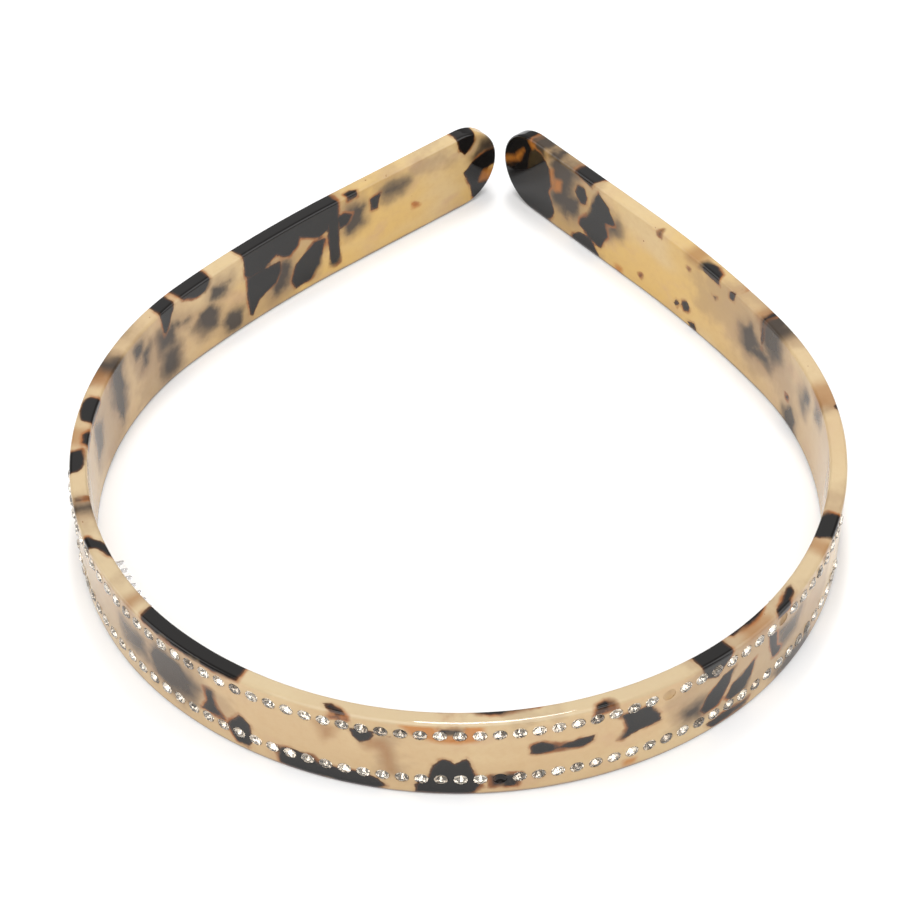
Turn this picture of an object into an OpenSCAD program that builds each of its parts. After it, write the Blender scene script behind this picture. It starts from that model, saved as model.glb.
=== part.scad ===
// Acetate headband with two rows of set crystals on its front and two clear grip combs inside.
// Millimetres, +Z up. The band stands on its lower edge, its front faces -Y, and its two rounded
// tips nearly meet at the back, towards +Y. The band springs open at both sides when it is worn,
// so it is drawn as a crown and two arms, which meet face to face where each side flexes.

/* [Band] */
// Height of the band, from its lower edge to its upper edge
band_h = 17; // [15:0.5:20]
// Thickness of the acetate
band_t = 3; // [2.6:0.1:3.6]

/* [Curve seen from above] */
// Radius of the front arc, to the middle of the acetate
front_r = 67; // [66:1:72]
// Half of the angle that the front arc covers
front_angle = 38; // [37:1:42]
// Radius of each side arc, to the middle of the acetate
side_r = 59; // [58:1:64]
// Angle that each side arc covers
side_angle = 88; // [85:1:92]
// Radius of the shallow arc behind each side arc
arm_r = 220; // [180:10:260]
// Angle that the shallow arc covers
arm_angle = 9.5; // [8:0.5:12]
// Gap between the two tips at rest
tip_gap = 1.4; // [0.8:0.2:6]

/* [Flexure] */
// Direction of the band, turned from the front, where a side opens when the band is worn
flex_heading = 86; // [85:1:92]

/* [Crystals] */
// Diameter of a crystal
stone_d = 2.2; // [1.8:0.1:2.4]
// Distance along the band from one crystal to the next
stone_pitch = 3; // [2.7:0.1:3]
// Number of crystals on each side of the middle one, in each row
stones_each_side = 29; // [20:1:29]
// Distance from the upper edge of the band to the upper row
upper_row_inset = 2.5; // [2.2:0.1:4]
// Distance from the lower edge of the band to the lower row
lower_row_inset = 3.9; // [2.2:0.1:4.5]

/* [Grip combs] */
// Number of teeth on each comb
teeth = 12; // [6:1:12]
// Distance from one tooth to the next, along the middle of the acetate
tooth_pitch = 2; // [1.7:0.1:2.2]
// Thickness of a tooth
tooth_d = 1.1; // [0.8:0.1:1.3]
// How far a tooth stands in from the inner face of the band
tooth_reach = 3; // [2:0.5:4]
// Height of the row of teeth above the lower edge
comb_z = 9.5; // [6:0.5:11]

/* [Hidden] */
$fn = 48;
degree = PI / 180;

// Crystals: a pointed-back stone with a flat table, counted from the middle one, + to the right
upper_z = band_h - upper_row_inset;
lower_z = lower_row_inset;
table_d = 0.55 * stone_d;
stone_crown_h = 0.35;
girdle_h = 0.1;
stone_point_h = 0.42 * stone_d;
seat_clearance = 0.03;
side_first = 18;            // the first crystal of the side groups
upper_empty = [13, 21];     // seats that have lost their crystal
lower_empty = [4];

// Face of an arm stands this far from the face of the crown
flex_gap = 0.02;

// Combs: a strip glued to the inner face, with the teeth standing in from it
comb_inset = 2.5;           // from the end of the front arc to the first tooth
strip_t = 1;
strip_h = 3.6;
strip_margin = 1;           // strip beyond the middle of the end teeth
glue_gap = 0.02;

// Headings where the arcs end, and the centres of the arcs on the right side
side_end = front_angle + side_angle;
tip_heading = side_end + arm_angle;
side_centre = [0, front_r] + (front_r - side_r) * outward(front_angle);
arm_centre = side_centre + (side_r - arm_r) * outward(side_end);
arm_end = arm_centre + arm_r * outward(tip_heading);

// The straight stretch runs on until the inner faces of the tips are tip_gap apart
tip_r = 0.52 * band_h;       // over half the height, so that the arc meets both edges at an angle
straight = (arm_end.x - band_t / 2 * outward(tip_heading).x - tip_gap / 2) / -cos(tip_heading);
tip_trim = 1;               // stock past the tip that is cut away

// Lengths along the middle of the acetate, from the middle of the front to the end of each stretch
front_s = front_r * front_angle * degree;
flex_s = front_s + side_r * (flex_heading - front_angle) * degree;
side_s = front_s + side_r * side_angle * degree;
arm_s = side_s + arm_r * arm_angle * degree;
tip_s = arm_s + straight;
comb_start = front_s + comb_inset;
side_step = 2;              // length of the flats that stand for the arcs of an arm
arm_step = 6;

// The origin is under the middle of the whole object
front_y = -band_t / 2 - stone_crown_h;
back_y = (place_at(tip_s) + band_t / 2 * outward(tip_heading)).y;
middle_y = (front_y + back_y) / 2;

// Unit vectors at a heading: along the band, away from the front, and out of its outer face
function along(heading) = [cos(heading), sin(heading)];
function outward(heading) = [sin(heading), -cos(heading)];

// Heading and place of the middle of the acetate at length s from the front, + to the right
function heading_right(s) =
    s < front_s ? s / front_r / degree
    : s < side_s ? front_angle + (s - front_s) / side_r / degree
    : s < arm_s ? side_end + (s - side_s) / arm_r / degree
    : tip_heading;
function place_right(s) =
    s < front_s ? [0, front_r] + front_r * outward(heading_right(s))
    : s < side_s ? side_centre + side_r * outward(heading_right(s))
    : s < arm_s ? arm_centre + arm_r * outward(heading_right(s))
    : arm_end + (s - arm_s) * along(tip_heading);
function heading_at(s) = sign(s) * heading_right(abs(s));
function place_at(s) = [sign(s) * place_right(abs(s)).x, place_right(abs(s)).y];

// Sets children on the band at arc length s: X along the band, -Y out of its outer face
module on_band(s, z)
    translate([place_at(s).x, place_at(s).y, z])
        rotate([0, 0, heading_at(s)])
            children();

module centred()
    translate([0, -middle_y, 0])
        children();

// One face of a stretch of the band seen from above, off millimetres out from the middle
function face(stations, off) = [for (s = stations) place_at(s) + off * outward(heading_at(s))];
function reversed(list) = [for (i = [len(list) - 1:-1:0]) list[i]];

// A stretch of the band, with a flat from each station along its length to the next
module stretch(stations)
    linear_extrude(band_h)
        polygon(concat(face(stations, band_t / 2), reversed(face(stations, -band_t / 2))));

// The crown, with one flat under each crystal of a row
module crown_bar() {
    edges = [for (number = [-stones_each_side:stones_each_side + 1]) (number - 0.5) * stone_pitch];
    stretch(concat([-flex_s], edges, [flex_s]));
}

// What is cut away at the end of the right arm to leave a half-round tip
module tip_corners()
    translate([place_at(tip_s - tip_r).x, place_at(tip_s - tip_r).y, band_h / 2])
        rotate([0, 0, tip_heading])
            difference() {
                translate([0, -band_t, -band_h])
                    cube([tip_r + 2 * tip_trim, 2 * band_t, 2 * band_h]);
                rotate([90, 0, 0])
                    cylinder(h = 3 * band_t, r = tip_r, center = true);
            }

// The right arm. The left one is its mirror image
module arm()
    difference() {
        stretch(concat(
            [for (s = [flex_s + flex_gap:side_step:side_s - side_step / 2]) s],
            [for (s = [side_s:arm_step:arm_s - arm_step / 2]) s],
            [arm_s, tip_s + tip_trim]
        ));
        tip_corners();
    }

// One crystal, its girdle sunk level with the outer face and its axis along +Z
module crystal()
    rotate_extrude()
        polygon([
            [0, -girdle_h - stone_point_h],
            [stone_d / 2, -girdle_h],
            [stone_d / 2, 0],
            [table_d / 2, stone_crown_h],
            [0, stone_crown_h],
        ]);

// The hole that a crystal sits in, open past the outer face
module seat() {
    seat_r = stone_d / 2 + seat_clearance;
    seat_top = 1;
    rotate_extrude()
        polygon([
            [0, -girdle_h - stone_point_h - 2 * seat_clearance],
            [seat_r, -girdle_h],
            [seat_r, seat_top],
            [0, seat_top],
        ]);
}

// Sets children on the outer face for each crystal number from first to last, but not in empty
module along_row(z, first, last, empty = [])
    for (number = [first:last])
        if (len(search(number, empty)) == 0)
            on_band(number * stone_pitch, z)
                translate([0, -band_t / 2, 0])
                    rotate([90, 0, 0])
                        children();

module crystal_group(z, first, last, empty)
    color("whitesmoke")
        centred()
            along_row(z, first, last, empty) crystal();

module comb() {
    last_tooth = comb_start + (teeth - 1) * tooth_pitch;
    strip_start = heading_at(comb_start - strip_margin);
    strip_end = heading_at(last_tooth + strip_margin);
    strip_r = side_r - band_t / 2 - glue_gap - strip_t;
    tooth_r = tooth_d / 2;
    tooth_len = tooth_reach - strip_t / 2;
    centred()
        union() {
            translate([side_centre.x, side_centre.y, comb_z - strip_h / 2])
                rotate([0, 0, strip_start - 90])
                    rotate_extrude(angle = strip_end - strip_start)
                        translate([strip_r, 0]) square([strip_t, strip_h]);
            for (i = [0:teeth - 1])
                on_band(comb_start + i * tooth_pitch, comb_z)
                    translate([0, band_t / 2 + strip_t / 2, 0])
                        rotate([-90, 0, 0])
                            rotate_extrude() {
                                square([tooth_r, tooth_len - tooth_r]);
                                translate([0, tooth_len - tooth_r])
                                    intersection() {
                                        circle(tooth_r);
                                        square(tooth_r);
                                    }
                            }
        }
}

module band_crown()
    color("burlywood")
        centred()
            difference() {
                crown_bar();
                along_row(upper_z, 1 - side_first, side_first - 1) seat();
                along_row(upper_z, -stones_each_side, -side_first) seat();
                along_row(upper_z, side_first, stones_each_side) seat();
                along_row(lower_z, 1 - side_first, side_first - 1) seat();
                along_row(lower_z, -stones_each_side, -side_first) seat();
                along_row(lower_z, side_first, stones_each_side) seat();
            }

module band_right_arm() color("tan") centred() arm();
module band_left_arm() color("tan") mirror([1, 0, 0]) centred() arm();

module upper_crystals_front()
    crystal_group(upper_z, 1 - side_first, side_first - 1, upper_empty);
module upper_crystals_left()
    crystal_group(upper_z, -stones_each_side, -side_first, upper_empty);
module upper_crystals_right()
    crystal_group(upper_z, side_first, stones_each_side, upper_empty);
module lower_crystals_front()
    crystal_group(lower_z, 1 - side_first, side_first - 1, lower_empty);
module lower_crystals_left()
    crystal_group(lower_z, -stones_each_side, -side_first, lower_empty);
module lower_crystals_right()
    crystal_group(lower_z, side_first, stones_each_side, lower_empty);

module right_comb() color("lightcyan") comb();
module left_comb() color("lightcyan") mirror([1, 0, 0]) comb();

band_crown();
band_left_arm();
band_right_arm();
upper_crystals_front();
upper_crystals_left();
upper_crystals_right();
lower_crystals_front();
lower_crystals_left();
lower_crystals_right();
left_comb();
right_comb();
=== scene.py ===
"""Looks of the tortoiseshell acetate headband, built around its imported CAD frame. Metres, +Z up.

Distances along the band are in millimetres, because the band is described by three numbers:
s, the length along the middle of the acetate from the middle of the front (+ to the right),
off, the distance out from that middle (+ towards the outer face), and z, the height.
"""
import math
import random

import bmesh
import bpy
import numpy as np
from mathutils import Matrix, Vector


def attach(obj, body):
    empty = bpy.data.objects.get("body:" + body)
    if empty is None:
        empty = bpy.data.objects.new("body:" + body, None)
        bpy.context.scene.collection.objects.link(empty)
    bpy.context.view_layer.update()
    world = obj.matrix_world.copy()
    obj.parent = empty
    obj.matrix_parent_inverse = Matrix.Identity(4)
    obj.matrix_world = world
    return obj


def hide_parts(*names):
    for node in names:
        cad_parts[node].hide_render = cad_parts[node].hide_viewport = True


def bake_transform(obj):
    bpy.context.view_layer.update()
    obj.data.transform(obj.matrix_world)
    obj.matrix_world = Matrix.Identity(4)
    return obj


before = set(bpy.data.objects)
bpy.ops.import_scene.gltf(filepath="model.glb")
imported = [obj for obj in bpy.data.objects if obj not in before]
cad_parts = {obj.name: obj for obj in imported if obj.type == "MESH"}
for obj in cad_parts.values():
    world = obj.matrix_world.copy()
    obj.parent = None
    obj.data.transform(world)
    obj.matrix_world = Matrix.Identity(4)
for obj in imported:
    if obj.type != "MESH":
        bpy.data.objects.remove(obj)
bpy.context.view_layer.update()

MM = 0.001
FAR = 1e9                # farther than anything in the scene, in mm

# ---------------------------------------------------------------- the band's dimensions, in mm

BAND_H = 17.0
BAND_T = 3.0
FRONT_R = 67.0
FRONT_ANGLE = math.radians(38)
SIDE_R = 59.0
SIDE_ANGLE = math.radians(88)
ARM_R = 220.0
ARM_ANGLE = math.radians(9.5)
TIP_GAP = 1.4
EDGE_ROUND = 0.6         # radius of the polished edges
SEAM = 52.5              # length at which the crown piece ends and an arm piece starts
RING_STEP = 0.6          # largest distance between two rows of vertices

STONE_D = 2.2
STONE_PITCH = 3.0
STONES_EACH_SIDE = 29
SIDE_FIRST = 18          # the first crystal of the side groups
ROW_Z = {"upper": BAND_H - 2.5, "lower": 3.9}
EMPTY_SEATS = {"upper": (13, 21), "lower": (4,)}
STONE_CROWN_H = 0.35
GIRDLE_H = 0.1
STONE_POINT_H = 0.42 * STONE_D
SEAT_CLEARANCE = 0.05

COMB_INSET = 2.5         # from the end of the front arc to the first tooth
TEETH = 12
TOOTH_PITCH = 2.0
TOOTH_D = 1.1
TOOTH_REACH = 3.0
COMB_Z = 9.5
STRIP_T = 1.0
STRIP_H = 3.6
STRIP_MARGIN = 1.0
GLUE_GAP = 0.02


def outward(heading):
    """Unit vector out of the outer face, seen from above, where the band has this heading."""
    return np.stack([np.sin(heading), -np.cos(heading)], -1)


def along(heading):
    """Unit vector along the band, away from the front."""
    return np.stack([np.cos(heading), np.sin(heading)], -1)


FRONT_S = FRONT_R * FRONT_ANGLE
SIDE_S = FRONT_S + SIDE_R * SIDE_ANGLE
ARM_S = SIDE_S + ARM_R * ARM_ANGLE
SIDE_END = FRONT_ANGLE + SIDE_ANGLE
TIP_HEADING = SIDE_END + ARM_ANGLE
COMB_START = FRONT_S + COMB_INSET
FRONT_CENTRE = np.array([0.0, FRONT_R])
SIDE_CENTRE = FRONT_CENTRE + (FRONT_R - SIDE_R) * outward(FRONT_ANGLE)
ARM_CENTRE = SIDE_CENTRE + (SIDE_R - ARM_R) * outward(SIDE_END)
ARM_END = ARM_CENTRE + ARM_R * outward(TIP_HEADING)
TIP_R = BAND_H / 2
TIP_INNER_X = ARM_END[0] - BAND_T / 2 * outward(TIP_HEADING)[0]
STRAIGHT = (TIP_INNER_X - TIP_GAP / 2) / -math.cos(TIP_HEADING)
TIP_S = ARM_S + STRAIGHT
BACK_Y = (ARM_END + STRAIGHT * along(TIP_HEADING) + BAND_T / 2 * outward(TIP_HEADING))[1]
MIDDLE_Y = (BACK_Y - BAND_T / 2 - STONE_CROWN_H) / 2


def heading_at(s):
    """Direction of the band at s, without its sign."""
    a = np.abs(s)
    return np.select(
        [a < FRONT_S, a < SIDE_S, a < ARM_S],
        [a / FRONT_R, FRONT_ANGLE + (a - FRONT_S) / SIDE_R, SIDE_END + (a - SIDE_S) / ARM_R],
        TIP_HEADING,
    )


def band_points(s, off, z):
    """Points in the shared frame, in metres, at s, off and z on the band."""
    s, off, z = np.broadcast_arrays(np.asarray(s, float), off, z)
    a = np.abs(s)[..., None]
    h = heading_at(s)
    out = outward(h)
    middle = np.select(
        [a < FRONT_S, a < SIDE_S, a < ARM_S],
        [FRONT_CENTRE + FRONT_R * out, SIDE_CENTRE + SIDE_R * out, ARM_CENTRE + ARM_R * out],
        ARM_END + (a - ARM_S) * along(h),
    )
    plan = middle + off[..., None] * out
    x = np.where(s < 0, -plan[..., 0], plan[..., 0])
    return np.stack([x, plan[..., 1] - MIDDLE_Y, z], -1) * MM


def band_place(co):
    """The reverse of band_points: s, off and z in mm for points in metres."""
    p = np.asarray(co, float) / MM
    side = np.where(p[:, 0] < 0, -1.0, 1.0)
    plan = np.stack([np.abs(p[:, 0]), p[:, 1] + MIDDLE_Y], -1)
    best_s = np.zeros(len(p))
    best_off = np.full(len(p), FAR)
    for centre, radius, start_s, start_h, end_h in (
        (FRONT_CENTRE, FRONT_R, 0.0, 0.0, FRONT_ANGLE),
        (SIDE_CENTRE, SIDE_R, FRONT_S, FRONT_ANGLE, SIDE_END),
        (ARM_CENTRE, ARM_R, SIDE_S, SIDE_END, TIP_HEADING),
    ):
        v = plan - centre
        h = np.arctan2(v[:, 0], -v[:, 1])
        off = np.linalg.norm(v, axis=1) - radius
        inside = (h >= start_h - 1e-6) & (h <= end_h + 1e-6) & (np.abs(off) < np.abs(best_off))
        best_s = np.where(inside, start_s + radius * (h - start_h), best_s)
        best_off = np.where(inside, off, best_off)
    v = plan - ARM_END
    run = v @ along(TIP_HEADING)
    off = v @ outward(TIP_HEADING)
    inside = (run > -1e-6) & (np.abs(off) < np.abs(best_off))
    best_s = np.where(inside, ARM_S + run, best_s)
    best_off = np.where(inside, off, best_off)
    return np.stack([side * best_s, best_off, p[:, 2]], -1)


# ---------------------------------------------------------------- the pattern in the acetate
# Each fleck is an outline of (s, z) points in mm. Points past z = 0 or 17 run off the band's edge.

DARK_FLECKS = [
    # left tip
    [(-204.8, 19), (-199.3, 19), (-200.2, 14.2), (-201.7, 12.4), (-203.8, 14.2)],
    [(-211.5, 10.5), (-206.5, 11), (-203.8, 10.2), (-201.3, 8.2), (-202.8, 4.5), (-203.3, 1.2),
     (-206, -1), (-210, -1), (-210.5, 3.6), (-207, 4.6), (-207.2, 6.6), (-209, 6.9), (-211, 6)],
    # left arm
    [(-181.2, 14), (-178.6, 13.6), (-178.8, 10.8), (-180.2, 10.6)],
    [(-190.2, 6.2), (-188.7, 7.3), (-188.9, 6.7)],
    [(-174.3, 12.4), (-172.5, 13.6), (-170.8, 13.3), (-171, 10.2), (-173.3, 10.4)],
    [(-171.3, 19), (-168.4, 19), (-168.5, 2.7), (-169.6, 2.1), (-171, 2.3)],
    [(-170.5, 19), (-152, 19), (-156, 15), (-160, 14.2), (-163.5, 12.5), (-166.3, 10.8), (-168.8, 11.5)],
    [(-162, 13.4), (-160.6, 16), (-158.5, 19), (-148, 19), (-148.4, 12), (-149.5, 10.8), (-153, 10.6),
     (-156, 12.4), (-157.5, 11.3), (-159.3, 10.4), (-161.2, 11.6)],
    [(-168, 10.2), (-165, 10.5), (-160.5, 7.5), (-159.2, 4.5), (-160, 1.7), (-164, 2.2), (-166.3, 4.5)],
    [(-157, 10.6), (-149, 11.2), (-148.6, 8), (-148.7, 2.5), (-149.3, 1.2), (-151.5, 4.5), (-155.5, 6),
     (-157, 8.5)],
    [(-140.4, 19), (-131.8, 19), (-133.4, 16), (-136, 14.6), (-138.8, 14.1), (-140.3, 15.5)],
    [(-131.2, 19), (-126.6, 19), (-127.2, 14.8), (-127.6, 11.2), (-128.6, 12.4), (-130.6, 15.5)],
    # front
    [(-51.4, 19), (-28.6, 19), (-29.4, 16.5), (-36, 16.1), (-44.5, 16.3), (-49.6, 16.4)],
    [(-36.3, 11.1), (-34.3, 11.4), (-34.4, 9.3), (-33.6, 7.2), (-32.3, 5.2), (-37.3, 5.2), (-35.8, 7.9)],
    [(-29.6, 8.7), (-27.8, 7), (-27.5, 3), (-28.5, 1.3), (-30.5, 1.5), (-32.3, 4.8)],
    [(-23.5, 4.4), (-21, 5.3), (-17, 5.2), (-16, 3.8), (-10, 3.8), (-7, 3), (-5.3, 1.4), (-7, 0.2),
     (-16.4, 0.2), (-22.8, 0.6)],
    [(-11, 14.2), (-6.8, 14.2), (-7.6, 12), (-9.3, 11), (-10.3, 12.2)],
    [(2.6, 16.3), (7, 16.25), (6, 14.8), (3.2, 14.8)],
    [(1.1, 4.4), (1.6, 7.3), (3.1, 8.9), (4.5, 8.7), (5, 7.8), (6.8, 9.2), (7.5, 8.3), (8.4, 4.6),
     (9.2, 2.4), (8, 0.4), (-1, 0.4), (-1, 2.4)],
    [(10.3, 5.1), (15.2, 4.9), (14.8, 1.8), (10.5, 2)],
    [(16.5, 9.1), (16.8, 11.3), (18.4, 11.7), (21.3, 10.5), (24.6, 11), (26.7, 10.9), (26.4, 9.4),
     (25, 8.8), (20.6, 9.1), (18.1, 8.8)],
    [(30.3, 13.9), (31.5, 12.4), (32, 10.4), (30.5, 8.1), (31.2, 7.6), (34, 8.7), (37.9, 9.2),
     (37.4, 11), (35.8, 13.9)],
    [(44.3, 19), (52.1, 19), (50.5, 15.8), (48, 12.8), (45.6, 14)],
    [(52, 13), (49.5, 12.4), (46.5, 9.8), (45, 6.6), (46, 5.2), (48.8, 5.8), (50.4, 9)],
    [(56.6, 11.2), (54.2, 10), (51.6, 8.7), (50.1, 6.2), (51.2, 5), (55, 5), (55.8, 8)],
    [(59.4, 13.6), (61.6, 13), (61.8, 9.5), (63.2, 8), (62.5, 6.8), (61, 7.1), (60.2, 9.5)],
    [(46.4, 2.4), (50, 2.9), (55.8, 2.3), (55, 0.8), (48, 0.7)],
    # right arm
    [(144, 16.9), (145.9, 16.6), (145.6, 14.8), (144.3, 15)],
    [(149.1, 12.5), (150.5, 12.3), (149.6, 11.6)],
    [(125.5, 6.6), (126.7, 6.5), (126.4, 5.5), (125.6, 5.6)],
    [(135.2, 19), (136.3, 19), (135.9, 12), (135.4, 10.2), (135.1, 13)],
    [(156.4, 5), (157.4, 5.8), (158.7, 4.6), (158, 3.1), (156.6, 3.6)],
    [(159.3, 3.8), (160.2, 4.4), (160.9, 3), (160, 2.4)],
    [(155, 1.9), (156.8, 1.3), (155.6, 0.2), (154, 0.6)],
    [(157, 13.8), (158, 13.6), (157.4, 13)],
    [(169.9, 3.8), (170.7, 3.4), (170.2, 2.9)],
    [(182.5, 15.9), (179.6, 13.9), (177.6, 10.6), (180, 9.6), (179.6, 6.7), (181.4, 2.8), (184.3, 3.3),
     (187.6, 4.9), (187.4, 6.4), (185, 9.6), (184.3, 12.4), (183.2, 14.6)],
    [(182.8, 19), (191.5, 19), (189, 16.6), (184.4, 15.6)],
    [(185.4, 12.4), (186.4, 14.6), (188.4, 14.2), (188.9, 12), (187.4, 10.2), (185.8, 10.6)],
    [(181.8, 0.8), (184, 3.4), (187.5, 3.2), (189.4, 1.5), (190, -2), (181, -2)],
    # right tip
    [(194.5, 3.5), (196.4, 7.6), (195.3, 9.5), (196, 13), (198.5, 15.2), (201.5, 15.8), (203, 19),
     (212, 19), (212, -2), (198, -2), (196, 0.5)],
]

SMOKE_FLECKS = [
    # left arm
    [(-211, 13.4), (-206, 13.6), (-204, 11), (-210, 10)],
    [(-187.5, 13.5), (-183, 14.6), (-181, 14), (-182, 12.2), (-186, 12)],
    [(-177, 12.6), (-174, 13.6), (-172, 11), (-173.4, 8), (-176.4, 9)],
    [(-159, 10), (-155, 10), (-154.6, 3), (-158.5, 4)],
    [(-147, 5), (-144.5, 6.4), (-142.6, 4.6), (-143.5, 1.2), (-146.8, 1.4)],
    [(-141.6, 8.4), (-139.8, 10.6), (-137, 10.2), (-135.6, 7.6), (-137.2, 4.6), (-140.6, 5)],
    [(-144.4, 13.4), (-140.6, 14), (-139.8, 11.4), (-143.4, 11)],
    [(-134.5, 11), (-129.5, 12.8), (-128.8, 11.8), (-133.6, 10.4)],
    [(-130.4, 12), (-126, 12.5), (-125.5, 8), (-130, 8)],
    [(-130.7, 6.5), (-129, 8), (-126.4, 7.7), (-126, 3), (-127.5, 1.5), (-130.4, 2)],
    [(-123, 12.6), (-121, 12), (-120.4, 9.4), (-122, 9.2)],
    [(-121, 15.5), (-118, 15.2), (-118.5, 12.8), (-120.6, 13)],
    [(-113.7, 19), (-108.6, 19), (-109.5, 9), (-111.8, 3.6), (-113.4, 8)],
    [(-102.5, 12), (-98, 14), (-98, 7), (-101, 8)],
    [(-77.4, 19), (-75.8, 19), (-76, 15), (-77.2, 15)],
    # front
    [(-56, 11), (-50, 11.6), (-49, 7.5), (-55, 7)],
    [(-48.8, 10), (-46, 12.8), (-41, 13), (-38.2, 9.5), (-39, 6), (-43, 4.8), (-47, 6)],
    [(42, 8.6), (45.4, 9), (45.2, 6), (42.4, 6.4)],
    [(62.5, 11.8), (68, 12.4), (67.4, 9), (63, 7.6)],
    [(62, 2.3), (68, 3), (73, 2.3), (72, 0.7), (63, 0.6)],
    # right arm
    [(111, 16.2), (113, 15), (113.5, 12.6), (111.6, 13.4)],
    [(117.6, 13), (119.6, 13.8), (120.8, 10), (119.6, 8.8)],
    [(122.3, 3.4), (124.4, 4.8), (126.4, 2.6), (126, -2), (123, -2)],
    [(129.8, 19), (136, 19), (135, 12), (132, 9.4), (129.8, 12)],
    [(136.6, 10), (139, 13), (141.4, 11), (140.6, 7), (138.4, 7.4)],
    [(133, 10), (140, 8.6), (140, 6.6), (133, 7.8)],
    [(187.6, 10.4), (192, 9.6), (193.2, 7), (189, 5.8)],
    [(188.5, 16.6), (195.4, 17), (195.4, 6), (191.4, 5), (190, 12)],
    [(192.6, 19), (197, 19), (196, 16.4), (193.4, 16)],
    [(197.5, 19), (203, 19), (202.4, 15.6), (198, 15.2)],
    [(176.8, 12), (179.4, 10), (179.6, 8), (177, 9)],
]

# Outlines of (s, off) points in mm, for flecks that only the top edge shows
TOP_FLECKS = [
    [(-176, -0.9), (-175.6, -1.9), (-173.6, -1.9), (-173.2, -0.6), (-174.6, -0.2)],
    [(-103.2, 0.3), (-103, -1.9), (-96.8, -1.9), (-97.2, 0.6), (-99, 1.2), (-102, 1.1)],
    [(-95.2, -1.9), (-91.2, -1.9), (-91.8, -0.5), (-94, -0.3)],
    [(-90, 1.9), (-90.3, -0.6), (-88, -1.2), (-85.6, -0.7), (-84.8, 0.3), (-84.6, 1.9)],
    [(-78.7, -1.9), (-78.2, -1.9), (-78.1, 1), (-78.9, 1)],
    [(-69.8, 1.9), (-67.6, 1.9), (-66.8, 0.4), (-64.4, -0.8), (-63.6, -1.9), (-66.6, -1.9),
     (-68.2, -0.6), (-69.6, 0.6)],
    [(-15.3, 0.2), (-14.2, -0.2), (-12.4, 0.5), (-11, 1.5), (-12.6, 1.5), (-14.4, 1.1)],
    [(26.6, 1.7), (27, 0.6), (28.4, 0.2), (29.8, 0.8), (30.2, 1.7)],
    [(6.6, -2.4), (8.6, -0.7), (12, -0.5), (15, -0.9), (18.4, -1.2), (20, -2.4)],
    [(51.6, -2.4), (53, -0.8), (57, -0.4), (61, -1.1), (62, -2.4)],
    [(61.3, 1.9), (61.9, 0.6), (64, 0.2), (67, -0.8), (68, -0.5), (67.2, 0.7), (65.2, 1.2), (64.6, 1.9)],
    [(80.4, 1.9), (79.6, -0.4), (79.4, -1.9), (84.6, -1.9), (86, -0.6), (85.6, 1.9)],
    [(148.6, -1.9), (149.4, -0.2), (151.8, 0.6), (154.2, 0.2), (154.8, -1.9)],
    [(164.9, -2.6), (165.7, -0.6), (166.7, -2.6)],
    [(109.6, 2.6), (110.8, 0.4), (113.2, 2.6)],
]
TOP_DEPTH = 1.3          # how far down from the upper edge they go

# Wide areas where the acetate turns to a brown haze
HAZE_AREAS = [
    [(-132, 9), (-124, 14), (-118, 12), (-118, 2), (-130, -1)],
    [(-116, 18), (-98, 18), (-96, 5), (-104, 1), (-113, 2)],
    [(-76, 12), (-60, 18), (-38, 18), (-28, 8), (-40, 2), (-70, 3)],
    [(-9.5, 13.4), (-4.6, 13.2), (-3, 9), (-2.6, 4.2), (-5.8, 4.2), (-6.8, 9)],
    [(12, 19), (24, 19), (22, 16), (14, 16)],
    [(-79, 19), (-71, 19), (-72, 13), (-78, 12)],
    [(84, 19), (92, 19), (91, 13), (85, 13)],
    [(38, 12), (46, 18), (62, 18), (80, 12), (78, 3), (58, 1), (42, 4)],
    [(122, 12), (130, 18), (146, 18), (158, 12), (152, 6), (140, 3), (126, 5)],
    [(176, 12), (184, 19), (205, 19), (203, -1), (184, -1), (178, 6)],
    [(-180, 17), (-172, 19), (-148, 12), (-148, 0), (-158, 0), (-168, 5)],
    [(-197, 19), (-188, 16), (-190, 12), (-200, 12)],
]

# Soft amber glows where a fleck thins out towards the upper edge
GLOW_AREAS = [
    [(-110.5, 19), (-105.5, 19), (-106, 15.8), (-109, 15.4)],
    [(-96.4, 19), (-90.6, 19), (-91.4, 15.8), (-95.4, 15.8)],
    [(-54.4, 19), (-52.4, 19), (-52.6, 16), (-54, 15.8)],
    [(-16.4, 13.8), (-13.2, 13.6), (-13.4, 11), (-15.2, 9.6)],
    [(-9.4, 12.6), (-5.4, 12.8), (-4.4, 10.6), (-3.8, 4.8), (-5.6, 4.8), (-6.2, 10.2), (-8.4, 10)],
    [(53, 19), (61, 19), (60, 15.8), (54.6, 15.6)],
    [(75.5, 19), (80, 19), (79.2, 15.8), (76.4, 15.6)],
    [(110, 19), (117.6, 19), (116.4, 15.6), (111.4, 15.2)],
    [(136, 19), (139, 19), (138.4, 16), (136.6, 15.8)],
    [(153.8, 19), (159.5, 19), (158, 15.4), (154.6, 15.2)],
    [(203.5, 13.8), (206.4, 10.6), (204.6, 9.4)],
]

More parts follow.
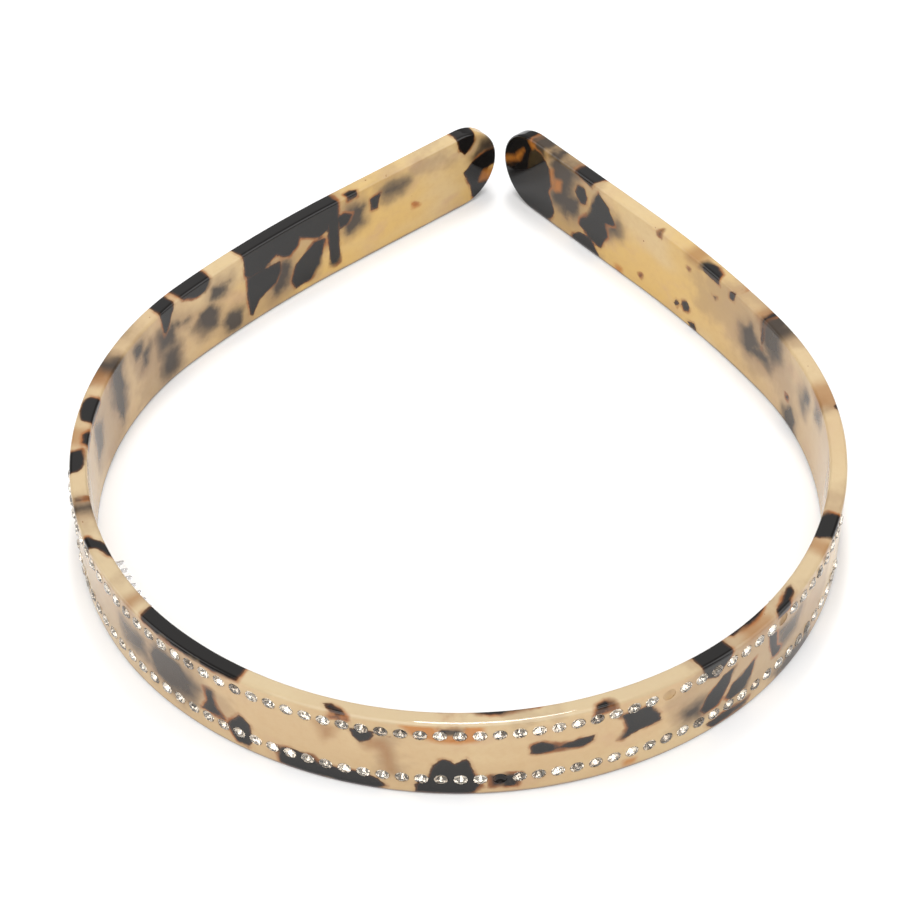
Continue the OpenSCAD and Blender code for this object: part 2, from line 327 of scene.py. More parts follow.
# Bright amber flecks, some of them inside dark ones
AMBER_FLECKS = [
    [(-208.8, 5.8), (-206.2, 6.2), (-205.4, 4.4), (-208, 3.6)],
    [(-190.4, 6), (-188.4, 7.6), (-188.8, 6.2)],
    [(-3.2, 16.9), (2, 16.9), (2.6, 14.8), (2.4, 13.4), (-0.6, 14.2)],
    [(2.4, 14.4), (6.4, 14.4), (7, 16.9), (9.4, 16.9), (9, 13.4), (5.6, 12.8), (2.4, 13.2)],
    [(31.7, 2.2), (33.5, 2), (33, 1.1), (31.9, 1.2)],
    [(175.3, 1.8), (177.4, 1.6), (176.8, 0.2), (175.5, 0.3)],
    [(192.8, 12.2), (194.4, 11.6), (194.8, 8.8), (193.2, 9.6)],
    [(195.2, 13.6), (195.9, 13.2), (195.5, 9.6), (195, 10.2)],
    [(203.6, 13.6), (206, 10.4), (210.5, 7.9), (209, 7.6), (205, 10.2)],
    [(200.6, 16.4), (202, 16.2), (201.2, 15.2)],
]


INNER_FACE_FROM = 92     # past this length a fleck is drawn as it meets the inner face
FIELD_REACH = 4.0        # how far from a fleck its distance is told apart
WIDE_REACH = 6.0         # the same for smoke and haze, which have softer limits


def distance_to_outline(points, outline):
    """Signed distance in mm from points to a closed outline, below zero inside it."""
    nearest = np.full(len(points), FAR)
    inside = np.zeros(len(points), bool)
    corners = np.array(outline, float)
    for a, b in zip(corners, np.roll(corners, -1, axis=0)):
        edge = b - a
        t = np.clip((points - a) @ edge / (edge @ edge), 0, 1)
        nearest = np.minimum(nearest, np.linalg.norm(points - a - t[:, None] * edge, axis=1))
        crosses = (a[1] > points[:, 1]) != (b[1] > points[:, 1])
        if edge[1] != 0:
            crossing = a[0] + (points[:, 1] - a[1]) / edge[1] * edge[0]
            inside ^= crosses & (points[:, 0] < crossing)
    return np.where(inside, -nearest, nearest)


def top_field(place):
    """Distance in mm from each place to the nearest fleck of the top edge."""
    field = np.full(len(place), FIELD_REACH)
    below = BAND_H - TOP_DEPTH - place[:, 2]
    for outline in TOP_FLECKS:
        field = np.minimum(field, np.maximum(distance_to_outline(place[:, :2], outline), below))
    return field


def fleck_field(place, outlines, lean, reach=FIELD_REACH):
    """Distance in mm from each place to the nearest fleck.

    Each fleck goes through the band and leans by its own slope, up to lean.
    """
    field = np.full(len(place), reach)
    for index, outline in enumerate(outlines):
        slope_s = lean * math.sin(2.4 * index + 0.7)
        slope_z = lean * math.cos(1.9 * index)
        depth = place[:, 1] - visible_side(outline) * BAND_T / 2
        points = np.stack([place[:, 0] + slope_s * depth, place[:, 2] + slope_z * depth], -1)
        low, high = np.min(outline, axis=0), np.max(outline, axis=0)
        near = (points[:, 0] > low[0] - reach) & (points[:, 0] < high[0] + reach)
        if near.any():
            field[near] = np.minimum(field[near], distance_to_outline(points[near], outline))
    return field


def visible_side(outline):
    """+1 for a fleck drawn as it meets the outer face, -1 for one drawn on the inner face."""
    return 1 if abs(np.mean(outline, axis=0)[0]) < INNER_FACE_FROM else -1


def set_attribute(mesh, name, kind, values):
    """Stores one value for each vertex under a name that the materials read."""
    attribute = mesh.attributes.get(name) or mesh.attributes.new(name, kind, "POINT")
    field = "vector" if kind == "FLOAT_VECTOR" else "value"
    attribute.data.foreach_set(field, np.asarray(values, np.float32).ravel())


def vertex_array(mesh):
    """Positions of the vertices, one row each."""
    co = np.empty(len(mesh.vertices) * 3, np.float32)
    mesh.vertices.foreach_get("co", co)
    return co.reshape(-1, 3).astype(float)


def paint_pattern(mesh):
    """Stores where each vertex is on the band, and how far it is from the flecks."""
    place = band_place(vertex_array(mesh))
    set_attribute(mesh, "place", "FLOAT_VECTOR", place)
    dark = np.minimum(fleck_field(place, DARK_FLECKS, 0.16), top_field(place))
    set_attribute(mesh, "dark", "FLOAT", dark)
    set_attribute(mesh, "smoke", "FLOAT", fleck_field(place, SMOKE_FLECKS, 0.3, WIDE_REACH))
    set_attribute(mesh, "haze", "FLOAT", fleck_field(place, HAZE_AREAS, 0.3, WIDE_REACH))
    set_attribute(mesh, "glow", "FLOAT", fleck_field(place, GLOW_AREAS, 0.2))
    set_attribute(mesh, "amber", "FLOAT", fleck_field(place, AMBER_FLECKS, 0.0))


# ---------------------------------------------------------------- meshes

CREASE = 0.05            # narrow row of faces beside each rounded edge, which keeps the flats flat
CORNER_STEPS = 5         # rows of faces round each rounded edge
EDGE_STEPS = 5           # rows across the flat of the narrow edges
TIP_TURNS = 44           # steps of the half turn round a tip
MERGE = 1e-4             # vertices closer than this become one


def new_object(name, bm):
    """Makes an object of a finished bmesh, and puts it in the scene."""
    mesh = bpy.data.meshes.new(name)
    bm.to_mesh(mesh)
    bm.free()
    mesh.shade_smooth()
    obj = bpy.data.objects.new(name, mesh)
    bpy.context.scene.collection.objects.link(obj)
    return obj


def bridge(bm, loops):
    """Quads between each closed loop of vertices and the next."""
    for a, b in zip(loops, loops[1:]):
        for i in range(len(a)):
            j = (i + 1) % len(a)
            bm.faces.new((a[i], b[i], b[j], a[j]))


def face_steps():
    """Distances from the middle line of a face out to where its rounded edge starts."""
    end = TIP_R - EDGE_ROUND
    count = round(end / RING_STEP)
    return [end * i / count for i in range(count)] + [end - CREASE, end]


def half_section():
    """(off, rho) from the middle of the outer face, over the edge, to the middle of the inner face.

    rho is the distance from the middle line of the band's height.
    """
    half_t = BAND_T / 2
    points = [(half_t, rho) for rho in face_steps()]
    for i in range(1, CORNER_STEPS + 1):
        a = math.pi / 2 * i / CORNER_STEPS
        off = half_t - EDGE_ROUND * (1 - math.cos(a))
        points.append((off, TIP_R - EDGE_ROUND * (1 - math.sin(a))))
    start = half_t - EDGE_ROUND
    end = -start
    points += [(start + (end - start) * i / EDGE_STEPS, TIP_R) for i in range(1, EDGE_STEPS)]
    for i in range(CORNER_STEPS + 1):
        a = math.pi / 2 * i / CORNER_STEPS
        off = -half_t + EDGE_ROUND * (1 - math.sin(a))
        points.append((off, TIP_R - EDGE_ROUND * (1 - math.cos(a))))
    points += [(-half_t, rho) for rho in reversed(face_steps()[:-1])]
    return points


def round_tip(bm, section, s_from):
    """Turns the section through half a turn, from the upper edge of the band to the lower one."""
    fans = []
    for k in range(TIP_TURNS + 1):
        a = math.pi * k / TIP_TURNS
        across, up = math.sin(a), math.cos(a)
        fans.append([bm.verts.new((s_from + rho * across, off, BAND_H / 2 + rho * up))
                     for off, rho in section])
    for a, b in zip(fans, fans[1:]):
        for i in range(len(section) - 1):
            bm.faces.new((a[i], b[i], b[i + 1], a[i + 1]))
    bmesh.ops.remove_doubles(bm, verts=bm.verts, dist=MERGE)
    bmesh.ops.dissolve_degenerate(bm, edges=bm.edges, dist=MERGE / 10)


def band_mesh(name, s_from, s_to, tip):
    """A closed stretch of the right side of the band, in s, off, z mm. With tip, it ends half-round."""
    section = half_section()
    loop = [(off, BAND_H / 2 + rho) for off, rho in section]
    loop += [(off, BAND_H / 2 - rho) for off, rho in reversed(section[1:-1])]
    count = round((s_to - s_from) / RING_STEP)
    bm = bmesh.new()
    rings = []
    for i in range(count + 1):
        s = s_from + (s_to - s_from) * i / count
        rings.append([bm.verts.new((s, off, z)) for off, z in loop])
    bridge(bm, rings)
    bm.faces.new(rings[0])
    if tip:
        round_tip(bm, section, s_to)
    else:
        bm.faces.new(list(reversed(rings[-1])))
    bmesh.ops.recalc_face_normals(bm, faces=bm.faces)
    return new_object(name, bm)


def onto_band(obj, mirrored=False):
    """Bends an object made in s, off, z mm onto the band."""
    co = vertex_array(obj.data)
    side = -1 if mirrored else 1
    points = band_points(side * co[:, 0], co[:, 1], co[:, 2])
    obj.data.vertices.foreach_set("co", points.astype(np.float32).ravel())
    if mirrored:
        obj.data.flip_normals()
    obj.data.update()


def apply_boolean(obj, cutter, operation):
    """Cuts or joins with the manifold solver, and falls back to the exact one."""
    for solver in ("MANIFOLD", "EXACT"):
        modifier = obj.modifiers.new("cut", "BOOLEAN")
        modifier.operation = operation
        modifier.solver = solver
        modifier.object = cutter
        evaluated = obj.evaluated_get(bpy.context.evaluated_depsgraph_get())
        mesh = bpy.data.meshes.new_from_object(evaluated)
        obj.modifiers.clear()
        before = len(obj.data.polygons)
        after = len(mesh.polygons)
        if after > before // 2 and after != before:
            obj.data = mesh
            break
    bpy.data.objects.remove(cutter)


def on_outer_face(number, row):
    """Frame of a seat: X along the band, Y up, Z straight out of the outer face, in metres."""
    s = number * STONE_PITCH
    h = float(heading_at(s)) * (1 if s >= 0 else -1)
    origin = Vector(band_points(s, BAND_T / 2, ROW_Z[row]))
    x = Vector((math.cos(h), math.sin(h), 0))
    z = Vector((math.sin(h), -math.cos(h), 0))
    y = z.cross(x)
    return Matrix.Translation(origin) @ Matrix((x, y, z)).transposed().to_4x4()


def ring(bm, place, radius, height, count, turn=0.0):
    """A round loop of vertices about the Z axis of place, in mm."""
    angles = [turn + 2 * math.pi * i / count for i in range(count)]
    return [
        bm.verts.new(place @ Vector((radius * MM * math.cos(a), radius * MM * math.sin(a), height * MM)))
        for a in angles
    ]


SEAT_SIDES = 28
SEAT_TOP = 0.6           # how far the cutter stands out of the outer face
SEAT_FLARE = 0.04


def seat_cutter(numbers):
    """One cone-pointed hole for each seat of both rows."""
    bm = bmesh.new()
    radius = STONE_D / 2 + SEAT_CLEARANCE
    depth = GIRDLE_H + STONE_POINT_H + 2 * SEAT_CLEARANCE
    for row in ROW_Z:
        for number in numbers:
            place = on_outer_face(number, row)
            bottom = bm.verts.new(place @ Vector((0, 0, -depth * MM)))
            low = ring(bm, place, radius, -GIRDLE_H - SEAT_CLEARANCE, SEAT_SIDES)
            high = ring(bm, place, radius + SEAT_FLARE, SEAT_TOP, SEAT_SIDES)
            for i in range(SEAT_SIDES):
                j = (i + 1) % SEAT_SIDES
                bm.faces.new((bottom, low[j], low[i]))
                bm.faces.new((low[i], low[j], high[j], high[i]))
            bm.faces.new(high)
    bmesh.ops.recalc_face_normals(bm, faces=bm.faces)
    return new_object("seat_cutter", bm)


STONE_SIDES = 8
STONE_TILT = 0.05        # radians that a stone may lean in its seat
FOIL_SLOT = 1            # material of the back facets; the crown's glass is material 0


def add_stone(bm, place, rng):
    """A pointed-back chaton with a table, kite and girdle facets in front and a foiled back."""
    tilt_x = Matrix.Rotation(rng.uniform(-STONE_TILT, STONE_TILT), 4, "X")
    tilt_y = Matrix.Rotation(rng.uniform(-STONE_TILT, STONE_TILT), 4, "Y")
    turn = Matrix.Rotation(rng.uniform(0, math.pi / 4), 4, "Z")
    place = place @ (tilt_x @ tilt_y) @ turn
    sides = STONE_SIDES
    radius = STONE_D / 2
    table = ring(bm, place, 0.56 * radius, STONE_CROWN_H, sides)
    girdle_top = ring(bm, place, radius, 0.02, 2 * sides)
    girdle_low = ring(bm, place, radius, -GIRDLE_H, 2 * sides)
    waist_z = -GIRDLE_H - 0.52 * STONE_POINT_H
    waist = ring(bm, place, 0.5 * radius, waist_z, sides, math.pi / sides)
    point = bm.verts.new(place @ Vector((0, 0, -(GIRDLE_H + STONE_POINT_H) * MM)))
    bm.faces.new(table)
    for i in range(sides):
        j = (i + 1) % sides
        a, b, c = girdle_top[2 * i - 1], girdle_top[2 * i], girdle_top[2 * i + 1]
        bm.faces.new((table[i], a, b))
        bm.faces.new((table[i], b, c))
        bm.faces.new((table[i], c, table[j]))
        d, e, f = (girdle_low[(2 * i + step) % (2 * sides)] for step in range(3))
        back = [
            bm.faces.new((waist[i], e, d)),
            bm.faces.new((waist[i], f, e)),
            bm.faces.new((waist[i], waist[j], f)),
            bm.faces.new((waist[i], point, waist[j])),
        ]
        for face in back:
            face.material_index = FOIL_SLOT
    for i in range(2 * sides):
        j = (i + 1) % (2 * sides)
        bm.faces.new((girdle_top[i], girdle_low[i], girdle_low[j], girdle_top[j]))


def stone_group(name, row, numbers, seed):
    """The stones of a stretch of one row. Empty seats stay empty."""
    bm = bmesh.new()
    rng = random.Random(seed)
    for number in numbers:
        if number not in EMPTY_SEATS[row]:
            add_stone(bm, on_outer_face(number, row), rng)
    bmesh.ops.recalc_face_normals(bm, faces=bm.faces)
    obj = new_object(name, bm)
    obj.data.shade_flat()
    return obj


LAST_TOOTH = COMB_START + (TEETH - 1) * TOOTH_PITCH
STRIP_FACE = -BAND_T / 2 - GLUE_GAP      # off of the glued face of the strip
STRIP_ROUND = 0.3
STRIP_ROUND_STEPS = 4
STRIP_STEP = 0.5
TOOTH_SIDES = 14
TOOTH_END_R = 0.42
TOOTH_END_STEPS = 8
TOOTH_FOOT = 0.25        # how deep a tooth is rooted in the strip
TOOTH_FILLET = 0.06      # how much wider it is there


def comb_strip(name):
    """The strip that is glued to the inner face, with its long edges rounded."""
    profile = []
    for off_sign, z_sign, start in ((0, 1, 0), (1, 1, 90), (1, -1, 180), (0, -1, 270)):
        for i in range(STRIP_ROUND_STEPS + 1):
            a = math.radians(start + 90 * i / STRIP_ROUND_STEPS)
            off = STRIP_FACE - (STRIP_T - STRIP_ROUND if off_sign else STRIP_ROUND)
            z = COMB_Z + z_sign * (STRIP_H / 2 - STRIP_ROUND)
            profile.append((off + STRIP_ROUND * math.cos(a), z + STRIP_ROUND * math.sin(a)))
    s_from = COMB_START - STRIP_MARGIN
    s_to = LAST_TOOTH + STRIP_MARGIN
    count = round((s_to - s_from) / STRIP_STEP)
    bm = bmesh.new()
    rings = []
    for i in range(count + 1):
        s = s_from + (s_to - s_from) * i / count
        rings.append([bm.verts.new((s, off, z)) for off, z in profile])
    bridge(bm, rings)
    bm.faces.new(rings[0])
    bm.faces.new(list(reversed(rings[-1])))
    bmesh.ops.recalc_face_normals(bm, faces=bm.faces)
    return new_object(name, bm)


def comb_teeth(name):
    """The row of teeth, each tapered and round at its end."""
    root_r = TOOTH_D / 2
    inner_face = STRIP_FACE - STRIP_T
    tip_off = -BAND_T / 2 - TOOTH_REACH
    stations = [(inner_face + TOOTH_FOOT, root_r + TOOTH_FILLET), (inner_face - 2 * TOOTH_FILLET, root_r)]
    for i in range(TOOTH_END_STEPS + 1):
        a = math.pi / 2 * i / TOOTH_END_STEPS
        stations.append((tip_off + TOOTH_END_R * (1 - math.sin(a)), TOOTH_END_R * math.cos(a)))
    turns = [2 * math.pi * k / TOOTH_SIDES for k in range(TOOTH_SIDES)]
    bm = bmesh.new()
    for t in range(TEETH):
        s_tooth = COMB_START + t * TOOTH_PITCH
        loops = []
        for off, radius in stations[:-1]:
            loops.append([
                bm.verts.new((s_tooth + radius * math.cos(a), off, COMB_Z + radius * math.sin(a)))
                for a in turns
            ])
        end = bm.verts.new((s_tooth, stations[-1][0], COMB_Z))
        bm.faces.new(loops[0])
        bridge(bm, loops)
        for k in range(TOOTH_SIDES):
            bm.faces.new((loops[-1][k], end, loops[-1][(k + 1) % TOOTH_SIDES]))
    bmesh.ops.recalc_face_normals(bm, faces=bm.faces)
    return new_object(name, bm)


def comb(name, mirrored):
    """A moulded strip with a row of teeth that stand in from the inner face."""
    strip = comb_strip(name)
    apply_boolean(strip, comb_teeth(name + "_teeth"), "UNION")
    onto_band(strip, mirrored)
    strip.data.shade_smooth()
    strip.data.set_sharp_from_angle(angle=math.radians(38))
    return strip


# ---------------------------------------------------------------- materials

class Nodes:
    """Short names for building a node tree."""

    def __init__(self, name):
        self.material = bpy.data.materials.new(name)
        self.material.use_nodes = True
        self.tree = self.material.node_tree
        self.shader = self.tree.nodes["Principled BSDF"]

    def add(self, kind, **settings):
        node = self.tree.nodes.new(kind)
        for key, value in settings.items():
            setattr(node, key, value)
        return node

    def link(self, value, socket):
        if isinstance(value, bpy.types.NodeSocket):
            self.tree.links.new(value, socket)
        else:
            socket.default_value = value

    def attribute(self, name, output="Fac"):
        return self.add("ShaderNodeAttribute", attribute_name=name).outputs[output]

    def noise(self, vector, scale, detail=2.0, rough=0.5):
        node = self.add("ShaderNodeTexNoise")
        self.link(vector, node.inputs["Vector"])
        for key, value in (("Scale", scale), ("Detail", detail), ("Roughness", rough)):
            node.inputs[key].default_value = value
        return node.outputs["Fac"]

    def math(self, operation, a, b=0.0, c=0.0):
        node = self.add("ShaderNodeMath", operation=operation)
        for value, socket in zip((a, b, c), node.inputs):
            self.link(value, socket)
        return node.outputs[0]

    def ramp(self, value, low, high, to_low=0.0, to_high=1.0):
        """Smooth step from to_low at low to to_high at high."""
        node = self.add("ShaderNodeMapRange", interpolation_type="SMOOTHSTEP")
        limits = {"From Min": low, "From Max": high, "To Min": to_low, "To Max": to_high}
        self.link(value, node.inputs["Value"])
        for key, limit in limits.items():
            self.link(limit, node.inputs[key])
        return node.outputs["Result"]

    def scaled(self, vector, scale):
        node = self.add("ShaderNodeMapping")
        self.link(vector, node.inputs["Vector"])
        node.inputs["Scale"].default_value = scale
        return node.outputs["Vector"]

    def mix(self, factor, a, b):
        """Colour a, turned to colour b where the factor is 1."""
        node = self.add("ShaderNodeMix", data_type="RGBA")
        self.link(factor, node.inputs["Factor"])
        for value, socket in ((a, node.inputs[6]), (b, node.inputs[7])):
            self.link(value if isinstance(value, bpy.types.NodeSocket) else (*value, 1.0), socket)
        return node.outputs[2]

    def bump(self, height, strength, distance):
        node = self.add("ShaderNodeBump")
        self.link(height, node.inputs["Height"])
        node.inputs["Strength"].default_value = strength
        node.inputs["Distance"].default_value = distance
        return node.outputs["Normal"]

    def set(self, **values):
        """Sets or links the shader's sockets, named with _ for each space."""
        for key, value in values.items():
            self.link(value, self.shader.inputs[key.replace("_", " ")])


def wobble(n, vector, scale, size, detail=2.0):
    """Noise from -size to +size."""
    return n.math("MULTIPLY_ADD", n.noise(vector, scale, detail), 2 * size, -size)


def honey_body(n, place, length, height):
    """The clear body of the acetate: sandy in front, honey at the tips, with a painted grey sheen along
    the upper edge.
    """
    honey = (0.555, 0.36, 0.115)
    sand = (0.49, 0.34, 0.18)
    cloud = (0.56, 0.42, 0.235)
    rosy = (0.46, 0.29, 0.165)
    grain = (0.42, 0.25, 0.10)
    # Grey of the painted sheen along the upper edge
    sheen_grey = (0.42, 0.35, 0.23)
    base = n.mix(n.ramp(length, 128, 162), sand, honey)
    clouds = n.noise(n.scaled(place, (0.5, 0.5, 1)), 0.075, 2)
    base = n.mix(n.ramp(clouds, 0.45, 0.68, 0, 0.7), base, cloud)
    blushes = n.noise(n.scaled(place, (0.6, 0.6, 1)), 0.19, 3)
    base = n.mix(n.ramp(blushes, 0.52, 0.76, 0, 0.6), base, rosy)
    base = n.mix(n.ramp(n.noise(place, 0.9, 4, 0.6), 0.35, 0.8, 0, 0.2), base, grain)
    # Painted sheen: the colour turns grey along the upper edge. It stands in for the gloss's pale
    # reflection there, and tones down the stronger light from above. It is half as strong on the arms.
    sheen_height = n.math("ADD", height, wobble(n, place, 0.25, 0.15))
    painted_sheen = n.ramp(sheen_height, 16.3, 16.9, 0, 0.6)
    painted_sheen = n.math("MULTIPLY", painted_sheen, n.ramp(length, 60, 110, 1.0, 0.5))
    return n.mix(painted_sheen, base, sheen_grey)


def deep_pattern(n, place, base):
    """What lies deep in the acetate and looks soft: haze, smoke and brown glows."""
    haze = (0.235, 0.145, 0.08)
    smoke_halo = (0.19, 0.115, 0.062)
    smoke = (0.030, 0.022, 0.017)
    glow = (0.26, 0.115, 0.035)
    hazy = n.math("ADD", n.attribute("haze"), wobble(n, place, 0.2, 5.5, 3))
    base = n.mix(n.ramp(hazy, 1.6, -2.5, 0, 0.45), base, haze)
    smoky = n.math("ADD", n.attribute("smoke"), wobble(n, place, 0.3, 1.6, 3))
    base = n.mix(n.ramp(smoky, 3.4, 0.0, 0, 0.55), base, smoke_halo)
    blur = n.ramp(n.noise(place, 0.12, 1), 0.4, 0.6, 0.45, 1.1)
    smoky = n.math("MULTIPLY", n.math("SUBTRACT", smoky, 0.1), blur)
    base = n.mix(n.ramp(smoky, 1.1, -0.9, 0, 0.95), base, smoke)
    glowing = n.math("ADD", n.attribute("glow"), wobble(n, place, 0.3, 1.0))
    return n.mix(n.ramp(glowing, 1.4, -1.6, 0, 0.7), base, glow)


def sharp_pattern(n, place, length, height, base):
    """What lies at the surface: dark flecks with amber rims, specks, and bright amber flecks."""
    rim = (0.26, 0.085, 0.02)
    speck = (0.16, 0.05, 0.012)
    brown = (0.08, 0.03, 0.01)
    black = (0.006, 0.005, 0.0045)
    amber = (0.40, 0.14, 0.02)
    ragged = n.math("ADD", wobble(n, place, 0.42, 0.6), wobble(n, place, 1.5, 0.24, 3))
    rim_strength = n.ramp(n.noise(place, 0.23, 2), 0.4, 0.66, 0.12, 0.95)
    bright = n.math("ADD", n.attribute("amber"), n.math("MULTIPLY", ragged, 0.6))
    dark = n.math("ADD", n.attribute("dark"), n.math("MULTIPLY", ragged, 0.62))
    base = n.mix(n.math("MULTIPLY", n.ramp(dark, 0.75, 0.1), rim_strength), base, rim)
    specks = n.noise(n.scaled(place, (0.8, 1, 1)), 0.62, 2)
    base = n.mix(n.ramp(specks, 0.745, 0.785, 0, 0.85), base, speck)
    softness = n.ramp(n.noise(place, 0.16, 1), 0.48, 0.66, 1.0, 0.16)
    edge = n.math("MULTIPLY", n.math("SUBTRACT", dark, 0.05), softness)
    core = n.mix(n.ramp(dark, 0.1, -0.5), brown, black)
    base = n.mix(n.ramp(edge, 0.13, -0.15), base, core)
    # On the front, amber stays off the upper edge and out of the dark flecks
    on_front = n.math("MULTIPLY", n.ramp(height, 16.9, 16.3), n.ramp(dark, -0.2, 0.2))
    allowed = n.math("MAXIMUM", on_front, n.ramp(length, 60, 110))
    return n.mix(n.math("MULTIPLY", n.ramp(bright, 0.9, -0.5, 0, 0.85), allowed), base, amber)


def acetate_material():
    """Polished honey acetate under a clear gloss. The pattern's lengths are in mm."""
    n = Nodes("tortoiseshell_acetate")
    place = n.attribute("place", "Vector")
    axes = n.add("ShaderNodeSeparateXYZ")
    n.link(place, axes.inputs[0])
    length = n.math("ABSOLUTE", axes.outputs["X"])
    height = axes.outputs["Z"]
    base = honey_body(n, place, length, height)
    base = deep_pattern(n, place, base)
    base = sharp_pattern(n, place, length, height, base)
    # Painted shade: the colour darkens to grey along the lower edge, where the band stands on the floor.
    foot_shade_height = n.math("ADD", height, wobble(n, place, 0.2, 0.2))
    base = n.mix(n.ramp(foot_shade_height, 0.95, 0.35, 0, 0.7), base, (0.14, 0.125, 0.13))

    hand = n.noise(place, 0.09, 1)
    scratches = n.noise(n.scaled(place, (0.25, 3, 3)), 3.0, 2)
    n.set(Base_Color=base, Roughness=0.4, IOR=1.48, Specular_IOR_Level=0.0)
    n.set(Coat_Weight=0.85, Coat_Roughness=0.035, Coat_IOR=1.46)
    n.set(Coat_Normal=n.bump(hand, 0.1, 0.0012), Normal=n.bump(scratches, 0.04, 0.0002))
    return n.material


def crystal_material():
    """Cut glass, a little less polished in places."""
    n = Nodes("cut_crystal")
    where = n.add("ShaderNodeTexCoord").outputs["Object"]
    polish = n.ramp(n.noise(where, 900, 2), 0.45, 0.75, 0.0, 0.06)
    tint = n.mix(n.ramp(n.noise(where, 260, 1), 0.4, 0.6), (1.0, 0.96, 0.89), (1.0, 0.92, 0.82))
    n.set(Base_Color=tint, Roughness=polish, IOR=1.56, Transmission_Weight=1.0)
    return n.material


def foil_material():
    """Silvered back of a crystal, darker on some facets as tarnish and as painted dark reflections, with
    some facets duller than others.
    """
    n = Nodes("silver_foil")
    where = n.add("ShaderNodeTexCoord").outputs["Object"]
    # Partly tarnish and partly painted reflection: some facets are darkened to stand in for the dark
    # reflections that give cut stones their contrast.
    tarnish_and_dark_reflections = n.ramp(n.noise(where, 420, 2), 0.42, 0.66)
    silver = n.mix(tarnish_and_dark_reflections, (0.88, 0.85, 0.80), (0.34, 0.30, 0.26))
    dull = n.ramp(n.noise(where, 700, 2), 0.4, 0.7, 0.04, 0.16)
    n.set(Base_Color=silver, Metallic=1.0, Roughness=dull)
    return n.material


def comb_material():
    """Clear moulded plastic, faintly cloudy."""
    n = Nodes("clear_plastic")
    where = n.add("ShaderNodeTexCoord").outputs["Object"]
    cloud = n.noise(where, 350, 3)
    tint = n.mix(cloud, (0.74, 0.74, 0.75), (0.6, 0.61, 0.62))
    dull = n.ramp(cloud, 0.3, 0.8, 0.04, 0.14)
    n.set(Base_Color=tint, Roughness=dull, IOR=1.49, Transmission_Weight=1.0)
    n.set(Normal=n.bump(n.noise(where, 500, 2), 0.12, 0.0002))
    return n.material


def floor_material():
    """Matt white card with a faint grain."""
    n = Nodes("white_card")
    where = n.add("ShaderNodeTexCoord").outputs["Object"]
    card = n.mix(n.noise(where, 60, 3), (0.83, 0.83, 0.83), (0.85, 0.85, 0.85))
    n.set(Base_Color=card, Roughness=0.9, Specular_IOR_Level=0.1)
    return n.material


# ---------------------------------------------------------------- the object

ACETATE = acetate_material()
CRYSTAL = crystal_material()
FOIL = foil_material()
CLEAR = comb_material()
SIDES = {"left": -1, "right": 1}


def blend_side(obj, side):
    """Computes where the crown piece ends and where the side arc ends on this side, which nothing uses,
    and bakes the piece's placement into its mesh.
    """
    start, end = (Vector(band_points(SIDES[side] * s, 0, BAND_H / 2)) for s in (SEAM, SIDE_S))
    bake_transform(obj)


def acetate_piece(name, s_from, s_to, tip, side, seats):
    """One stretch of the band, bent into place, with its seats cut and its pattern painted."""
    obj = band_mesh(name, s_from, s_to, tip)
    onto_band(obj, mirrored=side == "left")
    apply_boolean(obj, seat_cutter(seats), "DIFFERENCE")
    obj.data.shade_smooth()
    obj.data.set_sharp_from_angle(angle=math.radians(32))
    paint_pattern(obj.data)
    obj.data.materials.clear()
    obj.data.materials.append(ACETATE)
    return obj


def build_band():
    """The crown piece and the two arm pieces."""
    front = range(1 - SIDE_FIRST, SIDE_FIRST)
    crown = acetate_piece("acetate_crown", -SEAM, SEAM, False, "right", front)
    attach(crown, "crown")
    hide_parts("band_crown")
    for side, sign in SIDES.items():
        numbers = [sign * i for i in range(SIDE_FIRST, STONES_EACH_SIDE + 1)]
        arm = acetate_piece(f"acetate_{side}_arm", SEAM, TIP_S - TIP_R, True, side, numbers)
        blend_side(arm, side)
        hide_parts(f"band_{side}_arm")


FIRST_SEED = 11          # of the small turns and leans of the stones


def build_stones():
    """Three groups of crystals in each row, one for each stretch of the band."""
    groups = {
        "front": list(range(1 - SIDE_FIRST, SIDE_FIRST)),
        "left": [-i for i in range(SIDE_FIRST, STONES_EACH_SIDE + 1)],
        "right": list(range(SIDE_FIRST, STONES_EACH_SIDE + 1)),
    }
    seed = FIRST_SEED
    for row in ROW_Z:
        for where, numbers in groups.items():
            stones = stone_group(f"{row}_stones_{where}", row, numbers, seed)
            seed += 1
            stones.data.materials.append(CRYSTAL)
            stones.data.materials.append(FOIL)
            if where == "front":
                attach(stones, "crown")
            else:
                blend_side(stones, where)
            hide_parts(f"{row}_crystals_{where}")


def build_combs():
    """The two grip combs."""
    for side in SIDES:
        obj = comb(f"{side}_grip_comb", mirrored=side == "left")
        obj.data.materials.clear()
        obj.data.materials.append(CLEAR)
        blend_side(obj, side)
        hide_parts(f"{side}_comb")


# ---------------------------------------------------------------- the studio

CAMERA_TURN = 0.1034         # radians about Z: it stands a little to the right and looks left
CAMERA_DOWN = 0.7844         # radians that it looks down
CAMERA_ROLL = -0.0149        # radians about the way it looks
CAMERA_AWAY = 0.46135        # from the point that it aims at
CAMERA_AIM = (0.00645, 0.07268)      # to the right of and beyond the middle of the front, as it sees
CAMERA_LENS = 102.4
CAMERA_SENSOR = 36


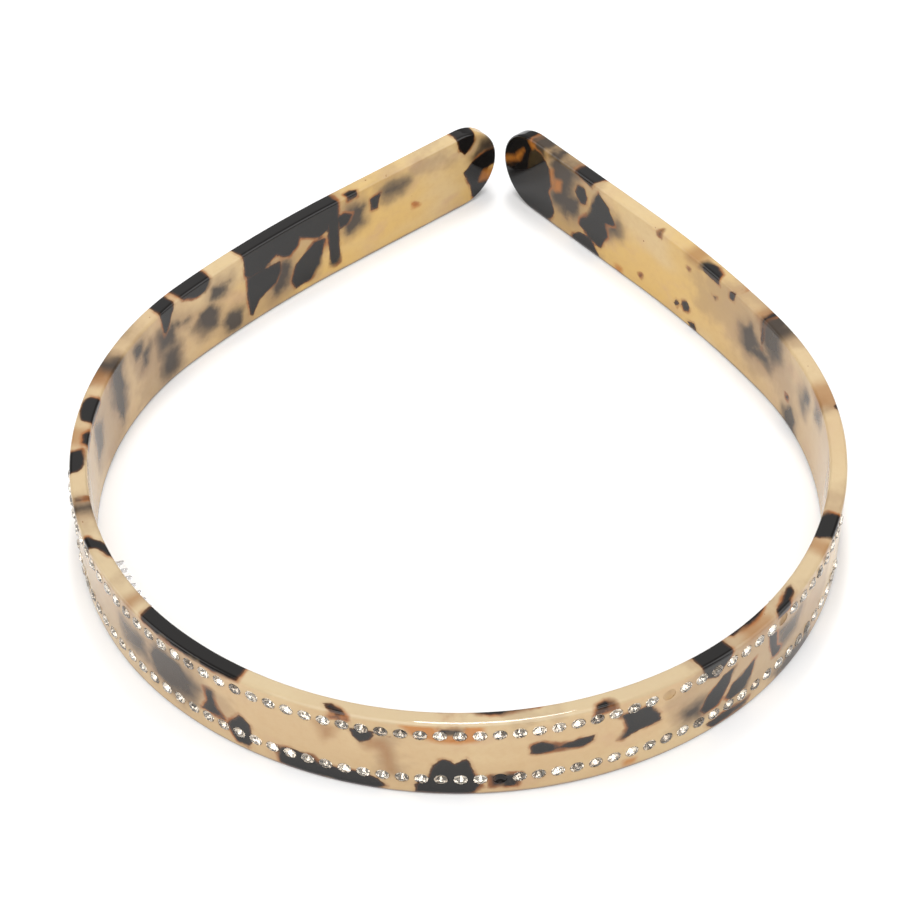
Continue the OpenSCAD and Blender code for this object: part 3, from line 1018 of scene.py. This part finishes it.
def build_camera():
    """The camera of the photograph, in front of and above the band."""
    turn = Matrix.Rotation(CAMERA_TURN, 3, "Z")
    right = turn @ Vector((1, 0, 0))
    ahead = turn @ Vector((0, 1, 0))
    up_axis = Vector((0, 0, 1))
    view = ahead * math.cos(CAMERA_DOWN) - up_axis * math.sin(CAMERA_DOWN)
    up = ahead * math.sin(CAMERA_DOWN) + up_axis * math.cos(CAMERA_DOWN)
    cos_roll = math.cos(CAMERA_ROLL)
    sin_roll = math.sin(CAMERA_ROLL)
    right, up = right * cos_roll + up * sin_roll, up * cos_roll - right * sin_roll
    front = Vector((0, -MIDDLE_Y * MM, 0))
    aim = front + turn @ Vector((CAMERA_AIM[0], CAMERA_AIM[1], 0))
    data = bpy.data.cameras.new("camera")
    data.lens = CAMERA_LENS
    data.sensor_width = CAMERA_SENSOR
    data.clip_start = 0.01
    camera = bpy.data.objects.new("camera", data)
    axes = Matrix((right, up, -view)).transposed().to_4x4()
    camera.matrix_world = Matrix.Translation(aim - view * CAMERA_AWAY) @ axes
    bpy.context.scene.collection.objects.link(camera)
    bpy.context.scene.camera = camera


FLOOR_HALF = 3.0
WORLD_STRENGTH = 0.34
# Each softbox's place, size and watts
LIGHTS = {
    "front_box": ((0.0, -0.95, 0.95), (1.7, 1.0), 15),
    "left_box": ((-1.15, -0.1, 0.7), (0.7, 1.2), 5.5),
    "right_box": ((1.15, -0.1, 0.7), (0.7, 1.2), 5.5),
    "overhead": ((0.0, -0.1, 1.3), (0.8, 0.8), 5),
    "back_box": ((0.0, 1.2, 1.15), (1.6, 0.9), 2.5),
    "edge_strip": ((-0.02, 0.36, 0.93), (0.12, 0.3), 3.0),
}


def softbox(name, place, size, power):
    """A rectangular light that aims at the origin."""
    data = bpy.data.lights.new(name, "AREA")
    data.shape = "RECTANGLE"
    data.size, data.size_y = size
    data.energy = power
    light = bpy.data.objects.new(name, data)
    light.location = place
    light.rotation_euler = (Vector() - Vector(place)).to_track_quat("-Z", "Y").to_euler()
    bpy.context.scene.collection.objects.link(light)


def build_studio():
    """A white floor, an even white surround and the softboxes."""
    bm = bmesh.new()
    bmesh.ops.create_grid(bm, x_segments=8, y_segments=8, size=FLOOR_HALF)
    floor = new_object("floor", bm)
    floor.data.materials.append(floor_material())
    world = bpy.data.worlds.new("studio")
    world.use_nodes = True
    background = world.node_tree.nodes["Background"]
    background.inputs["Color"].default_value = (1, 1, 1, 1)
    background.inputs["Strength"].default_value = WORLD_STRENGTH
    bpy.context.scene.world = world
    for name, (place, size, power) in LIGHTS.items():
        softbox(name, place, size, power)
    bpy.context.scene.view_settings.view_transform = "Standard"
    bpy.context.scene.view_settings.look = "None"


build_camera()
build_band()
build_stones()
build_combs()
build_studio()

bpy.context.view_layer.update()
